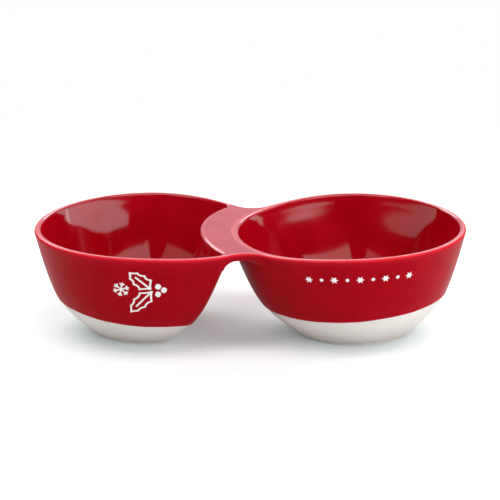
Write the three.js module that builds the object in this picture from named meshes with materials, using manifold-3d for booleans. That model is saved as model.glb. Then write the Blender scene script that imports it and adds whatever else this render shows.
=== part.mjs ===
// Double snack bowl in stoneware: a round bowl and a crescent bowl joined by a flat bridge.
// Millimetres, +Z up. The decorated front faces -Y, and the origin is on the table under the middle.
import * as THREE from 'three';
import { LoftGeometry } from 'three/addons/geometries/LoftGeometry.js';
import { mergeVertices } from 'three/addons/utils/BufferGeometryUtils.js';
import Module from 'manifold-3d';

const { PI, abs, acos, asin, atan2, cos, exp, hypot, max, min, round, sin, sqrt } = Math;
const { degToRad, lerp } = THREE.MathUtils;
const wasm = await Module();
wasm.setup();

// Driving dimensions: plan
const rimRadius = 79; // outer rim circle of both bowls
const bowlSpacing = 128.6; // between the two rim centres
const bridgeSpan = 14; // between the two outer walls, along the bridge
const waistFillet = 15; // where the bridge's edges run into the rims
const hornRadius = 9; // the crescent's two outer corners
const biteShare = 0.58; // the crescent's hollow side draws in by this share of the outer wall

// Driving dimensions: section
const rimHeight = 71.8;
const wall = 4.4; // glazed wall at the rim
const bridgeSwell = 2.6; // the round bowl's rim is this much thicker where the bridge joins it
const lipRadius = 2; // rounding of the rim, inside and outside
const wallSlope = degToRad(17.3); // flare of the wall below the rim, from upright
const wallPull = 46; // how far down the wall keeps that flare
const footRadius = 41;
const footSlope = degToRad(39.5); // rise of the wall where it leaves the foot
const footPull = 28; // how far up the wall keeps that rise
const footHeight = 2;
const footWidth = 4;
const footSetback = 2; // of the foot ring behind the wall's lower edge
const floorHeight = 7.5; // inside floor above the table
const floorRadius = 29; // flat middle of the floor
const floorPull = 24; // how far the floor's level runs on into the wall
const baseLean = 4.2; // each base stands this far outward of its rim
const bridgeThickness = 6;
const bridgeFillet = 7; // under the bridge, into both walls

// Driving dimensions: the sagging rim line
const bridgeDip = 4.2; // the rims sink this far towards the bridge
const dipReach = 44; // along X, from the middle
const crescentDrop = 1.8; // the crescent's far end is this much lower

// Driving dimensions: coats and marks
const coat = 0.4; // thickness of a glaze coat
const fitGap = 0.3; // clearance between separate solids
const roundGlazeLine = 23.6; // lower edge of the outer glaze, mean height
const roundGlazeTilt = 4.4;
const roundGlazeHigh = degToRad(330); // heading at which that edge is highest
const crescentGlazeLine = 18.9;
const crescentGlazeTilt = 4.8;
const crescentGlazeHigh = degToRad(207);
const glazeBow = 1.5; // that edge lies this much lower at front and back, and higher at the ends
const markDepth = 0.4;
const markLift = 0.2; // of a mark's back above the true wall
const markStroke = 1.6;

// Driving dimensions: the marks, with headings about their bowl's rim centre and drops below the rim
const snowflakeRadius = 5.7;
const snowflakeStroke = 1.3;
const snowflakeBarb = 1.6;
const snowflakeHeading = degToRad(257.5);
const snowflakeDrop = 23;
const snowflakeTurn = degToRad(18);
const sprigHeading = degToRad(273.9); // of the point between the two leaf stems
const sprigDrop = 23.3;
const sprigTurn = degToRad(183.8); // from the level round to between the leaves
const leafSpread = degToRad(47); // of each leaf from that direction
const leafHalfWidth = 6;
const upperLeafLength = 20.4;
const lowerLeafLength = 24;
const stemGap = 1.6; // between the two stems
const berryRadius = 2;
const berryCount = 3;
const berryReach = 4.7; // from the stems back to the middle of the cluster
const berryAlong = 2.5; // from that middle, along the sprig
const berryAcross = 3.6; // from that middle, across it
const garlandFrom = degToRad(250);
const garlandTo = degToRad(301);
const garlandDrop = 14.5;
const garlandStars = 5; // with a dot between each two
const starRadius = 2.8;
const starWaist = 1.3;
const dotRadius = 1.2;

// Proportions of the marks
const starPoints = 6;
const barbShares = [[0.5, 0], [0.74, 1], [0.88, 0.6], [0.76, 0]]; // along the arm, and out from it
const spikeShares = [[0.78, 0.6], [0.55, 0.88], [0.27, 0.95]]; // along the leaf, and out from its midrib
const scoopShare = 0.22; // hollow between two spikes, of the leaf's half width
const ribShares = [0.2, 0.72]; // start and end of the open midrib
const tipStrokes = 2; // strokes of margin at a leaf's tip
const sideStrokes = 1.35; // strokes of margin at its sides

// Facets
const roundSides = 40;
const outerArcSides = 30;
const hornSides = 4;
const biteSides = 10;
const glazedRows = 4;
const bareRows = 3;
const insideRows = 5;
const bridgeRows = 8;
const markSegments = 4;
const halvings = 40; // steps of a search by halving
const weldTolerance = 1e-4;
const lipTurn = PI / 4;
const hornTurn = PI / 3; // how far round a horn the bridge follows it

// Sizes that follow
const halfSpacing = bowlSpacing / 2;
const biteRadius = rimRadius + bridgeSpan;
const wallTop = rimHeight - lipRadius;
const bodySkin = coat + fitGap;
const waistDistance = rimRadius + waistFillet; // from a rim centre to the waist fillet's centre
const waistHeading = acos(halfSpacing / waistDistance);
const halfLength = halfSpacing + rimRadius;
const footInset = rimRadius - footRadius;
const seamTurn = lipTurn - fitGap / lipRadius; // where the satin coat ends on the rim's rounding

// Wall curves as how far the face has drawn in from its rim line, against height
const outerCurve = new THREE.CubicBezierCurve(
  new THREE.Vector2(0, wallTop),
  new THREE.Vector2(wallPull * sin(wallSlope), wallTop - wallPull * cos(wallSlope)),
  new THREE.Vector2(footInset - footPull * cos(footSlope), footHeight + footPull * sin(footSlope)),
  new THREE.Vector2(footInset, footHeight),
);
const floorInset = rimRadius - wall - floorRadius;
const innerCurve = new THREE.CubicBezierCurve(
  new THREE.Vector2(0, wallTop),
  new THREE.Vector2(wallPull * sin(wallSlope), wallTop - wallPull * cos(wallSlope)),
  new THREE.Vector2(floorInset - floorPull, floorHeight),
  new THREE.Vector2(floorInset, floorHeight),
);

// Where the outer wall passes a height, found by halving
function curveAt(height) {
  let low = 0;
  let high = 1;
  for (let step = 0; step < halvings; step++) {
    const middle = (low + high) / 2;
    if (outerCurve.getPoint(middle).y > height) low = middle;
    else high = middle;
  }
  return low;
}

function wallInset(height) {
  return height >= wallTop ? 0 : outerCurve.getPoint(curveAt(height)).x;
}

// The rims sag towards the bridge and at the crescent's end, while the foot stays level
function settle(point) {
  const end = point.x < 0 ? crescentDrop * (point.x / halfLength) ** 2 : 0;
  const sag = bridgeDip * exp(-((point.x / dipReach) ** 2)) + end;
  point.z -= sag * max(0, point.z - footHeight) / (rimHeight - footHeight);
  return point;
}

function arc(centreX, centreY, radius, from, to, sides) {
  return Array.from({ length: sides }, (_, k) => {
    const angle = lerp(from, to, k / sides);
    return new THREE.Vector2(centreX + radius * cos(angle), centreY + radius * sin(angle));
  });
}

// Centre of the crescent's far horn fillet, as headings and distances from both rim centres
function hornAt(inset, skin) {
  const radius = hornRadius - skin;
  const fromCrescent = rimRadius - inset - skin - radius;
  const fromRound = biteRadius + biteShare * inset + skin + radius;
  const x = (fromCrescent ** 2 - fromRound ** 2 + bowlSpacing ** 2) / (2 * bowlSpacing);
  const y = sqrt(fromCrescent ** 2 - x ** 2);
  return { radius, fromRound, x, y, outer: atan2(y, x), inner: atan2(y, bowlSpacing - x) };
}

function roundOutline(inset, skin) {
  return arc(halfSpacing, 0, rimRadius - inset - skin, 0, 2 * PI, roundSides);
}

// Outer arc, front horn, hollow arc about the round bowl, back horn
function crescentOutline(inset, skin) {
  const horn = hornAt(inset, skin);
  const hornX = horn.x - halfSpacing;
  const bite = biteRadius + biteShare * inset + skin;
  return [
    ...arc(-halfSpacing, 0, rimRadius - inset - skin, horn.outer, 2 * PI - horn.outer, outerArcSides),
    ...arc(hornX, -horn.y, horn.radius, -horn.outer, horn.inner, hornSides),
    ...arc(halfSpacing, 0, bite, PI + horn.inner, PI - horn.inner, biteSides),
    ...arc(hornX, horn.y, horn.radius, -horn.inner, horn.outer, hornSides),
  ];
}

function makeBowl(side, outline, swell, glazeLine, glazeTilt, glazeHigh) {
  const centreX = side * halfSpacing;
  const headings = outline(0, 0).map((p) => atan2(p.y, p.x - centreX));
  const ends = outline(floorInset, wall).map((p) => p.x);
  const middle = new THREE.Vector2((max(...ends) + min(...ends)) / 2, 0);
  const glazeEnd = (heading) =>
    curveAt(glazeLine + glazeTilt * cos(heading - glazeHigh) + glazeBow * cos(2 * heading));
  const wallAt = (heading, fade) => wall + fade * swell * ((1 - cos(heading)) / 2) ** 3;
  return { side, centreX, outline, headings, middle, glazeEnd, wallAt };
}
const roundBowl = makeBowl(1, roundOutline, bridgeSwell, roundGlazeLine, roundGlazeTilt, roundGlazeHigh);
const crescentBowl =
  makeBowl(-1, crescentOutline, 0, crescentGlazeLine, crescentGlazeTilt, crescentGlazeHigh);

// One row of a wall: skin counts from the outer face, share 0 draws the row to the floor's middle
function outerRow(t, skin) {
  const point = outerCurve.getPoint(t);
  const along = outerCurve.getTangent(t);
  return { inset: point.x, skin: -along.y * skin, z: point.y + along.x * skin };
}

function innerRow(bowl, t, depth) {
  const point = innerCurve.getPoint(t);
  const along = innerCurve.getTangent(t);
  const left = (1 - t) ** 2; // of the swelling at the rim
  return (heading) =>
    ({ inset: point.x, skin: bowl.wallAt(heading, left) + along.y * depth, z: point.y - along.x * depth });
}

// One row of the rim's outer rounding, which turns from the wall up to the top
function outerLip(turn, depth) {
  const radius = lipRadius - depth;
  return { inset: 0, skin: lipRadius - radius * cos(turn), z: wallTop + radius * sin(turn) };
}

// The rim's rounding, from the outer face over the top to the inner face
function lipRows(bowl, depth) {
  const radius = lipRadius - depth;
  const innerLip = (turn) => (heading) => ({
    ...outerLip(turn, depth), skin: bowl.wallAt(heading, 1) - lipRadius + radius * cos(turn),
  });
  return [outerLip(lipTurn, depth), outerLip(PI / 2, depth), innerLip(PI / 2), innerLip(lipTurn)];
}

function insideRowsAt(bowl, depth) {
  const rows = Array.from({ length: insideRows + 1 }, (_, k) => innerRow(bowl, k / insideRows, depth));
  return [...rows, (heading) => ({ ...rows[insideRows](heading), share: 0 })];
}

// Rows of the glazed outer wall, from the rim down to the glaze line, which tilts round the bowl
function glazedRowsAt(bowl, skin) {
  return Array.from({ length: glazedRows + 1 }, (_, k) => (heading) =>
    outerRow(bowl.glazeEnd(heading) * k / glazedRows, skin));
}

function ring(bowl, row) {
  return bowl.headings.map((heading, column) => {
    const { inset, skin, z, share = 1 } = typeof row === 'function' ? row(heading) : row;
    const flat = bowl.middle.clone().lerp(bowl.outline(inset, skin)[column], share);
    const lean = bowl.side * baseLean * (1 - z / rimHeight);
    return settle(new THREE.Vector3(flat.x + lean, flat.y, z));
  });
}

function weld(geometry) {
  const plain = new THREE.BufferGeometry();
  plain.setAttribute('position', geometry.getAttribute('position'));
  plain.setIndex(geometry.getIndex());
  return mergeVertices(plain, weldTolerance);
}

// Splits each four-sided cell along its shorter diagonal, so that facing walls have like facets
function splitShort(geometry) {
  const position = geometry.getAttribute('position');
  const index = geometry.getIndex().array;
  const corner = (i) => new THREE.Vector3().fromBufferAttribute(position, i);
  for (let k = 0; k < index.length; k += 6) {
    const [a, b, c, d] = [index[k], index[k + 1], index[k + 4], index[k + 5]];
    if (corner(a).distanceTo(corner(c)) < corner(b).distanceTo(corner(d))) index.set([a, b, c, a, c, d], k);
  }
  return geometry;
}

function loft(bowl, rows) {
  return splitShort(weld(new LoftGeometry(rows.map((row) => ring(bowl, row)))));
}

// Clay of a bowl: flat underside, bare wall, glazed wall, rim, inside
function bowlBody(bowl) {
  const base = { ...outerRow(1, bodySkin), z: footHeight };
  const bare = Array.from({ length: bareRows - 1 }, (_, k) => (heading) =>
    outerRow(lerp(1, bowl.glazeEnd(heading), (k + 1) / bareRows), bodySkin));
  const glazed = glazedRowsAt(bowl, bodySkin).reverse();
  const inside = [...lipRows(bowl, bodySkin), ...insideRowsAt(bowl, bodySkin)];
  return loft(bowl, [{ ...base, share: 0 }, base, ...bare, ...glazed, ...inside]);
}

function footRing(bowl) {
  const outside = footSetback + bodySkin;
  const rows = [
    { inset: footInset, skin: outside + footWidth, z: 0 },
    { inset: footInset, skin: outside, z: 0 },
    { inset: footInset, skin: outside, z: footHeight },
    { inset: footInset, skin: outside + footWidth, z: footHeight },
  ];
  return loft(bowl, [...rows, rows[0]]);
}

// Gloss coat of the inside and the top of the rim
function linerGlaze(bowl) {
  const back = [...lipRows(bowl, coat), ...insideRowsAt(bowl, coat)].reverse();
  const face = [...lipRows(bowl, 0), ...insideRowsAt(bowl, 0)];
  return loft(bowl, [...back, ...face]);
}

// Satin coat of the outside, from the glaze line up over the rim's outer rounding
function outerGlaze(bowl) {
  const face = [...glazedRowsAt(bowl, 0).reverse(), outerLip(seamTurn, 0)];
  const back = [outerLip(seamTurn, coat), ...glazedRowsAt(bowl, coat)];
  return loft(bowl, [...face, ...back, face[0]]);
}

function toSolid(geometry) {
  return new wasm.Manifold(new wasm.Mesh({
    numProp: 3,
    vertProperties: new Float32Array(geometry.getAttribute('position').array),
    triVerts: new Uint32Array(geometry.getIndex().array),
  }));
}

function cut(geometry, cutter) {
  const mesh = toSolid(geometry).subtract(toSolid(cutter)).getMesh();
  const result = new THREE.BufferGeometry();
  result.setAttribute('position', new THREE.BufferAttribute(mesh.vertProperties, 3));
  result.setIndex(new THREE.BufferAttribute(mesh.triVerts, 1));
  return result;
}

// Underside of the bridge, or a face inside it by skin: level in the middle, filleted into both walls
function bridgeUnderside(radius, skin) {
  const toWall = min(radius - rimRadius, biteRadius - radius);
  const rest = max(0, bridgeFillet - toWall);
  const rise = sqrt(max(0, (bridgeFillet + skin) ** 2 - rest ** 2));
  return rimHeight - bridgeThickness - bridgeFillet + rise;
}

// Half angle of the bridge about the round bowl: to the waist fillet, past it to the crescent's rim circle
function waistAngle(radius, edge) {
  const rim = rimRadius - edge;
  const filletEnd = hypot(bowlSpacing - rim * cos(waistHeading), rim * sin(waistHeading));
  const other = radius < filletEnd ? waistDistance : bowlSpacing;
  const reach = radius < filletEnd ? waistFillet + edge : rim;
  const turn = acos(min(1, (radius ** 2 + other ** 2 - reach ** 2) / (2 * radius * other)));
  return radius < filletEnd ? waistHeading - turn : turn;
}

// The crescent's hollow wall and horns, or a face inside them by skin, as a distance from the round centre
function hollowWall(angle, inset, skin) {
  const horn = hornAt(inset, 0);
  const past = max(0, angle - horn.inner);
  const radius = horn.radius - skin;
  const chord = sqrt(max(0, radius ** 2 - (horn.fromRound * sin(past)) ** 2));
  return horn.fromRound * cos(past) - max(chord, radius * cos(hornTurn));
}

// Stops along the bridge from front to back, as shares of its half angle: waist, horn, hollow wall and back
function makeBridgeStops() {
  const horn = hornAt(0, 0);
  const end = waistAngle(biteRadius, 0);
  const hornStops = Array.from({ length: hornSides }, (_, k) => {
    const turn = hornTurn * (k + 1) / hornSides;
    return (horn.inner + asin(horn.radius * sin(turn) / horn.fromRound)) / end;
  });
  const half = Array.from({ length: biteSides / 2 }, (_, k) => horn.inner * (k + 1) / (biteSides / 2) / end);
  const back = [...half, ...hornStops, 1];
  return [...back.map((stop) => -stop).reverse(), 0, ...back];
}
const bridgeStops = makeBridgeStops();

// A box bent to the bridge: edge is its setback at the waist, reach how far it enters both walls,
// tip the same at the two horn tips, and heights are its levels from the underside up
function bridgeBlock(edge, reach, tip, heights) {
  const levels = heights.length - 1;
  const sides = bridgeStops.length - 1;
  const box = weld(new THREE.BoxGeometry(1, sides, levels, bridgeRows, sides, levels));
  const position = box.getAttribute('position');
  for (let i = 0; i < position.count; i++) {
    const across = 0.5 + sin(PI * position.getX(i)) / 2;
    const along = bridgeStops[round(position.getY(i) + sides / 2)];
    const height = heights[round(position.getZ(i) + levels / 2)];
    const z = height(lerp(biteRadius + reach, rimRadius - reach, across));
    const inset = wallInset(z);
    const heading = along * waistAngle(biteRadius, edge);
    const lean = baseLean * (1 - z / rimHeight) * cos(heading);
    const depth = abs(along) < 1 ? reach : tip;
    const crescentEnd = hollowWall(abs(heading), inset, depth) + lean;
    const radius = lerp(crescentEnd, rimRadius - inset - lean - reach, across);
    const rimLevel = lerp(hollowWall(abs(heading), 0, depth), rimRadius - reach, across);
    const angle = along * waistAngle(rimLevel, edge);
    const point = settle(new THREE.Vector3(halfSpacing - radius * cos(angle), radius * sin(angle), z));
    position.setXYZ(i, point.x, point.y, point.z);
  }
  return splitShort(box);
}

const underside = (skin) => (radius) => bridgeUnderside(radius, skin);
const flat = (height) => () => height;
const coreSkin = coat + fitGap / 2;
const rimFlat = [flat(wallTop), flat(rimHeight - bodySkin)];
const bridgeWeb = bridgeBlock(bodySkin, coat, -fitGap - bodySkin, [underside(bodySkin), ...rimFlat]);
const bridgeTop = bridgeBlock(0, coat, -fitGap, [flat(rimHeight - coat), flat(rimHeight)]);
const coreTop = [flat(wallTop), flat(rimHeight - coat)];
const bridgeCore = bridgeBlock(coreSkin, coreSkin, -fitGap - coreSkin, [underside(coat), ...coreTop]);
const bridgeCutter = bridgeBlock(coreSkin, 2 * bodySkin, -fitGap - coreSkin, [underside(coat), ...coreTop]);
const bridgeCasing = bridgeBlock(0, -fitGap, -fitGap, [underside(0), ...rimFlat]);

// A flat mark laid on a bowl's outer wall, its origin at a heading and a drop below the rim
function markOn(bowl, heading, drop, shape, turn) {
  const height = rimHeight - drop;
  const options = { depth: markDepth, bevelEnabled: false, curveSegments: markSegments };
  const mark = new THREE.ExtrudeGeometry(shape, options);
  mark.rotateZ(turn);
  const geometry = weld(mark);
  const position = geometry.getAttribute('position');
  const fall = -outerCurve.getTangent(curveAt(height)).y;
  const radiusThere = rimRadius - wallInset(height);
  for (let i = 0; i < position.count; i++) {
    const z = height + position.getY(i) * fall;
    const radius = rimRadius - wallInset(z) + markLift + position.getZ(i);
    const angle = heading + position.getX(i) / radiusThere;
    const centre = bowl.centreX + bowl.side * baseLean * (1 - z / rimHeight);
    const point = settle(new THREE.Vector3(centre + radius * cos(angle), radius * sin(angle), z));
    position.setXYZ(i, point.x, point.y, point.z);
  }
  return geometry;
}

function disc(radius, x = 0, y = 0) {
  return new THREE.Shape().absarc(x, y, radius, 0, 2 * PI);
}

function star(radius, waist) {
  const corners = Array.from({ length: 2 * starPoints }, (_, k) => {
    const reach = k % 2 ? waist : radius;
    return new THREE.Vector2(reach * cos(PI * k / starPoints), reach * sin(PI * k / starPoints));
  });
  return new THREE.Shape(corners);
}

// Six arms, each with a pair of barbs
function snowflakeShape(length, stroke, barb) {
  const half = stroke / 2;
  const upper = [...barbShares.map(([along, out]) => [along * length, half + out * barb]), [length, half]];
  const lower = upper.map(([x, y]) => [x, -y]);
  const arm = [[stroke * cos(PI / starPoints), -half], ...lower, ...upper.reverse()];
  const middle = new THREE.Vector2();
  const corners = Array.from({ length: starPoints }, (_, k) =>
    arm.map(([x, y]) => new THREE.Vector2(x, y).rotateAround(middle, 2 * PI * k / starPoints)));
  return new THREE.Shape(corners.flat());
}

// One edge of a holly leaf from its tip to the stem or midrib: scoops between spikes
function leafEdge(length, width, side, endX) {
  const spikes = spikeShares.map(([along, out]) => [along * length, side * out * width]);
  const edge = new THREE.Path().moveTo(length, 0);
  for (const [x, y] of [...spikes, [endX, side * markStroke / 2]]) {
    const from = edge.currentPoint;
    edge.quadraticCurveTo((from.x + x) / 2, (from.y + y) / 2 - side * width * scoopShare, x, y);
  }
  return edge.getPoints(markSegments);
}

// A leaf in outline with its midrib, on one side of the sprig
function leafShape(length, width, side) {
  const stem = new THREE.Vector2(0, side * stemGap / 2);
  const place = (p) => p.rotateAround(new THREE.Vector2(), side * leafSpread).add(stem);
  const loop = (reach, half, endX) =>
    [...leafEdge(reach, half, 1, endX), ...leafEdge(reach, half, -1, endX).reverse().slice(0, -1)];
  const leaf = new THREE.Shape(loop(length, width, 0).map(place));
  const [ribStart, ribEnd] = ribShares.map((share) => share * length);
  const hole = loop(length - tipStrokes * markStroke, width - sideStrokes * markStroke, ribStart);
  const half = markStroke / 2;
  const stemAt = hole.findIndex((p) => p.x === ribStart) + 1;
  hole.splice(stemAt, 0, new THREE.Vector2(ribEnd, half), new THREE.Vector2(ribEnd, -half));
  leaf.holes.push(new THREE.Path(hole.reverse().map(place)));
  return leaf;
}

const glossRed = new THREE.MeshStandardMaterial({ color: 0xb3000f, roughness: 0.12, metalness: 0 });
const satinRed = new THREE.MeshStandardMaterial({ color: 0x98091a, roughness: 0.45, metalness: 0 });
const bareClay = new THREE.MeshStandardMaterial({ color: 0xd6d0c8, roughness: 0.7, metalness: 0 });
const markWhite = new THREE.MeshStandardMaterial({ color: 0xe6e4dc, roughness: 0.55, metalness: 0 });

const part = new THREE.Group();
function add(name, geometry, material) {
  const mesh = new THREE.Mesh(geometry, material);
  mesh.name = name;
  part.add(mesh);
}

for (const [name, bowl] of [['round', roundBowl], ['crescent', crescentBowl]]) {
  add(`${name}_bowl_body`, bowlBody(bowl), bareClay);
  add(`${name}_foot_ring`, footRing(bowl), bareClay);
  add(`${name}_liner_glaze`, cut(linerGlaze(bowl), bridgeCore), glossRed);
  add(`${name}_outer_glaze`, cut(outerGlaze(bowl), bridgeCutter), satinRed);
}
add('bridge_web', bridgeWeb, bareClay);
add('bridge_top_glaze', bridgeTop, glossRed);
add('bridge_under_glaze', cut(bridgeCasing, bridgeCore), satinRed);

// Holly sprig and snowflake on the crescent bowl's front
const flake = snowflakeShape(snowflakeRadius, snowflakeStroke, snowflakeBarb);
add('snowflake', markOn(crescentBowl, snowflakeHeading, snowflakeDrop, flake, snowflakeTurn), markWhite);
const sprigMark = (shape) => markOn(crescentBowl, sprigHeading, sprigDrop, shape, sprigTurn);
for (const [name, length, side] of [['upper', upperLeafLength, -1], ['lower', lowerLeafLength, 1]]) {
  add(`holly_leaf_${name}`, sprigMark(leafShape(length, leafHalfWidth, side)), markWhite);
}
for (let k = 0; k < berryCount; k++) {
  const turn = PI + 2 * PI * k / berryCount;
  const berry = disc(berryRadius, berryAlong * cos(turn) - berryReach, berryAcross * sin(turn));
  add(`holly_berry_${k + 1}`, sprigMark(berry), markWhite);
}

// Garland of stars and dots on the round bowl's front
const garlandStep = (garlandTo - garlandFrom) / (2 * garlandStars - 2);
for (let k = 0; k < 2 * garlandStars - 1; k++) {
  const heading = garlandFrom + k * garlandStep;
  const [name, shape] = k % 2 ? ['dot', disc(dotRadius)] : ['star', star(starRadius, starWaist)];
  add(`garland_${name}_${(k >> 1) + 1}`, markOn(roundBowl, heading, garlandDrop, shape, PI / 2), markWhite);
}

export default part;
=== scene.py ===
import bpy
import numpy as np
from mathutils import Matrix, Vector


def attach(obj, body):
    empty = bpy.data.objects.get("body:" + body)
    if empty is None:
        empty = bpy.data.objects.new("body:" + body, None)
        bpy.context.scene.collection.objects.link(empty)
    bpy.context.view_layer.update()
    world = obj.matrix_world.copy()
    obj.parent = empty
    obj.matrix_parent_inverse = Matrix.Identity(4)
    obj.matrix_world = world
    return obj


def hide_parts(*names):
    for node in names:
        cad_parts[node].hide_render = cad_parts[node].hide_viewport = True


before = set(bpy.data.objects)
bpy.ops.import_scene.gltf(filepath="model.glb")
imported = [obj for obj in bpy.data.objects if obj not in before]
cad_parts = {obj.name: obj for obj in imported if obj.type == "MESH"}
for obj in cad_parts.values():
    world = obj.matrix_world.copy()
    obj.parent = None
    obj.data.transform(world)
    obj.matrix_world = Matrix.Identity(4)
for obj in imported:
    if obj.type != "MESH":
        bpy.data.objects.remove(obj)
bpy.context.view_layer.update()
scene = bpy.context.scene
scene.view_settings.view_transform = "Standard"
print("frame loaded:", len(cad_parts), "nodes")

# camera: long lens, a little right of the middle, looking down at the front
cameraForm = dict(
    place=(0.0420, -1.7033, 0.5811), aim=(-0.00004, 0.0, 0.05354), lens=192.6, sensor=36.0, farClip=20.0,
)


def facing(direction):
    # the turn that points an object's minus Z this way, with its Y upwards
    return Vector(direction).to_track_quat("-Z", "Y").to_euler()


cameraData = bpy.data.cameras.new("photoCamera")
cameraData.lens = cameraForm["lens"]
cameraData.sensor_width = cameraForm["sensor"]
cameraData.clip_end = cameraForm["farClip"]
camera = bpy.data.objects.new("photoCamera", cameraData)
camera.location = cameraForm["place"]
camera.rotation_euler = facing(Vector(cameraForm["aim"]) - Vector(cameraForm["place"]))
scene.collection.objects.link(camera)
scene.camera = camera
print("camera set")

# the wall that both bowls share, in millimetres and degrees
bowlForm = dict(
    rimRadius=79.0, halfSpacing=64.3, bridgeSpan=14.0, waistFillet=15.0, hornRadius=9.0, biteShare=0.58,
    rimHeight=71.8, wall=4.4, lipRadius=2.0, wallSlope=17.3, wallPull=46.0,
    footRadius=41.0, footSlope=39.5, footPull=28.0, footHeight=2.0, footWidth=4.0, footSetback=2.0,
    floorHeight=7.5, floorRadius=29.0, floorPull=24.0,
    baseLean=4.2, bridgeDip=4.2, dipReach=44.0, crescentDrop=1.8, halfLength=143.3,
    seamTurn=45.0, glazeBow=1.5,
    roundColumns=288, outerColumns=184, hornColumns=22, hollowColumns=84, tableSteps=6001,
)
millimetre, tiny, quarter = 0.001, 1e-12, np.pi / 2
rimRadius, halfSpacing = bowlForm["rimRadius"], bowlForm["halfSpacing"]
rimHeight, wall, lipRadius = bowlForm["rimHeight"], bowlForm["wall"], bowlForm["lipRadius"]
footHeight, floorHeight = bowlForm["footHeight"], bowlForm["floorHeight"]
wallPull, footPull, floorPull = bowlForm["wallPull"], bowlForm["footPull"], bowlForm["floorPull"]
hornRadius, biteShare = bowlForm["hornRadius"], bowlForm["biteShare"]
biteRadius = rimRadius + bowlForm["bridgeSpan"]
wallTop = rimHeight - lipRadius
seamTurn = np.radians(bowlForm["seamTurn"])  # where on the lip's rounding the satin meets the gloss
footInset = rimRadius - bowlForm["footRadius"]
floorInset = rimRadius - wall - bowlForm["floorRadius"]
waistCentre = np.sqrt((rimRadius + bowlForm["waistFillet"]) ** 2 - halfSpacing ** 2)
wallSlope, footSlope = np.radians(bowlForm["wallSlope"]), np.radians(bowlForm["footSlope"])
rimHandle = (wallPull * np.sin(wallSlope), wallTop - wallPull * np.cos(wallSlope))
footHandle = (footInset - footPull * np.cos(footSlope), footHeight + footPull * np.sin(footSlope))
floorHandle = (floorInset - floorPull, floorHeight)
outerEnds = np.array([(0.0, wallTop), rimHandle, footHandle, (footInset, footHeight)])
innerEnds = np.array([(0.0, wallTop), rimHandle, floorHandle, (floorInset, floorHeight)])


def stacked(*values):
    # values spread over one grid and set side by side along a last axis
    return np.stack(np.broadcast_arrays(*values), -1)


def cubic(ends, t):
    # cubic Bezier through the first and last point, pulled by the two between: points and unit tangents
    t = np.asarray(t, float)[..., None]
    u = 1 - t
    a, b, c, d = ends
    point = a * u ** 3 + 3 * b * u * u * t + 3 * c * u * t * t + d * t ** 3
    slope = u * u * (b - a) + 2 * u * t * (c - b) + t * t * (d - c)
    return point, slope / np.linalg.norm(slope, axis=-1, keepdims=True)


def bent(start, pull, end, t):
    # quadratic curve from start to end, pulled by the point between
    return (1 - t) ** 2 * start + 2 * t * (1 - t) * pull + t ** 2 * end


tableShare = np.linspace(1.0, 0.0, bowlForm["tableSteps"])  # read upwards, so that heights rise along it
tablePoint = cubic(outerEnds, tableShare)[0]


def insetAt(z):
    # how far the outer wall has drawn in at height z
    return np.interp(z, tablePoint[:, 1], tablePoint[:, 0])


def shareAt(z):
    # the outer curve's parameter at height z
    return np.interp(z, tablePoint[:, 1], tableShare)


def outerRows(t, depth):
    # outer wall: the outer curve moved into the clay by depth along its normal;
    # each row holds inset, depth under the skin, height and share
    point, along = cubic(outerEnds, t)
    return stacked(point[..., 0], -along[..., 1] * depth, point[..., 1] + along[..., 0] * depth, 1.0)


def wallAt(bowl, fade):
    # the wall gains swell times fade times the cube of half of one less the heading's cosine
    toBridge = ((1 - np.cos(headings(bowl))) / 2) ** 3
    return wall + bowl["swell"] * np.asarray(fade, float)[:, None] * toBridge[None, :]


def innerRows(bowl, t, depth):
    # inner wall: the inner curve set back by the wall, moved into the clay by depth along its normal;
    # the swelling fades as the square of what is left of the curve
    point, along = cubic(innerEnds, t)
    thick = wallAt(bowl, (1 - np.asarray(t, float)) ** 2)
    z = (point[:, 1] - along[:, 0] * depth)[:, None]
    return stacked(point[:, :1], thick + along[:, 1:] * depth, z, 1.0)


def lipRows(bowl, turn, depth, inner=False):
    # quarter round of the lip: turn is 0 at the wall and a right angle at the top
    turn = np.asarray(turn, float)
    radius = lipRadius - depth
    thick = wallAt(bowl, np.ones_like(turn))
    away = (radius * np.cos(turn))[:, None]
    skinDepth = thick - lipRadius + away if inner else lipRadius - away
    z = (wallTop + radius * np.sin(turn))[:, None]
    return stacked(np.zeros_like(thick), skinDepth, z, 1.0)


def spread(bowl, rows):
    # the same row in every column
    return np.repeat(rows[:, None, :], bowl["columns"], 1)


def flatRows(inset, skinDepth, z, shares):
    # flat floor: one outline drawn in towards the bowl's middle by each share
    return stacked(inset, skinDepth, z, shares)


def settle(points):
    # the rim sags at the bridge as a bell curve over x, and towards the crescent's end as a square;
    # the sag lessens in proportion down to the foot
    x, z = points[..., 0], points[..., 2]
    sag = bowlForm["bridgeDip"] * np.exp(-(x / bowlForm["dipReach"]) ** 2)
    sag = sag + np.where(x < 0, bowlForm["crescentDrop"] * (x / bowlForm["halfLength"]) ** 2, 0.0)
    points[..., 2] = z - sag * np.maximum(0.0, z - footHeight) / (rimHeight - footHeight)
    return points


def leanAt(z):
    # each bowl's outline moves outwards with depth, in proportion
    return bowlForm["baseLean"] * (1 - z / rimHeight)


def hornAt(inset, skinDepth):
    # the horn circle touches the outer circle from within and the hollow circle from without
    radius = hornRadius - skinDepth
    fromCrescent = rimRadius - inset - skinDepth - radius
    fromRound = biteRadius + biteShare * inset + skinDepth + radius
    spacing = 2 * halfSpacing
    x = (fromCrescent ** 2 - fromRound ** 2 + spacing ** 2) / (2 * spacing)
    y = np.sqrt(np.maximum(0.0, fromCrescent ** 2 - x ** 2))
    return x, y, radius, np.arctan2(y, x), np.arctan2(y, spacing - x)


def circle(cx, cy, radius, angle):
    # points on a circle by cosine and sine
    return stacked(cx + radius * np.cos(angle), cy + radius * np.sin(angle))


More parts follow.
